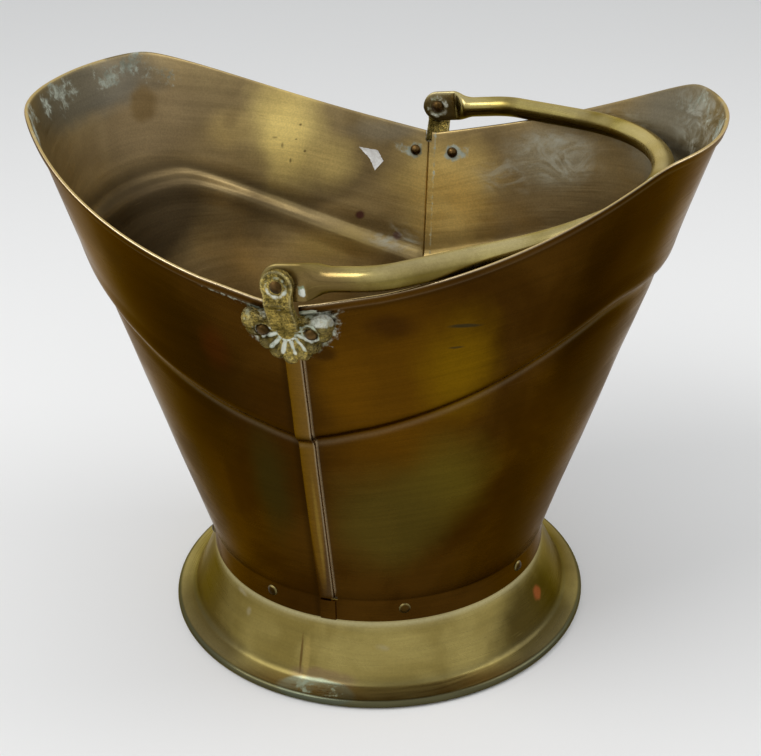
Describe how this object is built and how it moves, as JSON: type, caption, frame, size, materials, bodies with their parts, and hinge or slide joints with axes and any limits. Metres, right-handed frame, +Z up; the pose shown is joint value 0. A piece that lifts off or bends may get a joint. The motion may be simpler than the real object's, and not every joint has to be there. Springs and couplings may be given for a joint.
{
  "type": "coal scuttle",
  "caption": "Oval brass coal scuttle with two raised lips, folded side seams, a flared round foot and a swinging tube bail on cast ears.",
  "frame": {"origin": "middle of the foot on the floor", "axes": "+Z up, +X towards the lip that the bail lies on, the seams, ears and pivots on Y with the near ones at -Y"},
  "size_m": [0.3394, 0.283, 0.2811],
  "materials": {
    "sheet_brass": "tarnished, once polished",
    "pan_brass": "dull and sooty",
    "foot_brass": "satin, tarnished",
    "edge_wire": "plain wire",
    "cast_brass": "as cast, pitted",
    "tube_brass": "worn bright",
    "rivet_brass": "dull"
  },
  "bodies": {
    "scuttle": {"front_shell": "sheet_brass", "back_shell": "sheet_brass", "base_pan": "pan_brass", "foot_ring": "foot_brass", "foot_wire": "edge_wire", "near_ear": "cast_brass", "far_ear": "cast_brass", "near_ear_front_rivet": "rivet_brass", "near_ear_back_rivet": "rivet_brass", "far_ear_front_rivet": "rivet_brass", "far_ear_back_rivet": "rivet_brass", "collar_rivet_1": "rivet_brass", "collar_rivet_2": "rivet_brass", "collar_rivet_3": "rivet_brass", "collar_rivet_4": "rivet_brass", "collar_rivet_5": "rivet_brass", "collar_rivet_6": "rivet_brass", "collar_rivet_7": "rivet_brass", "collar_rivet_8": "rivet_brass", "near_pivot_rivet": "rivet_brass", "far_pivot_rivet": "rivet_brass"},
    "bail": {"bail": "tube_brass"}
  },
  "joints": [
    {"name": "bail_swing", "type": "hinge", "parent": "scuttle", "child": "bail", "pos_m": [0, 0, 0.2396], "axis": [0, -1, 0], "range_deg": [0, 169.2]}
  ]
}
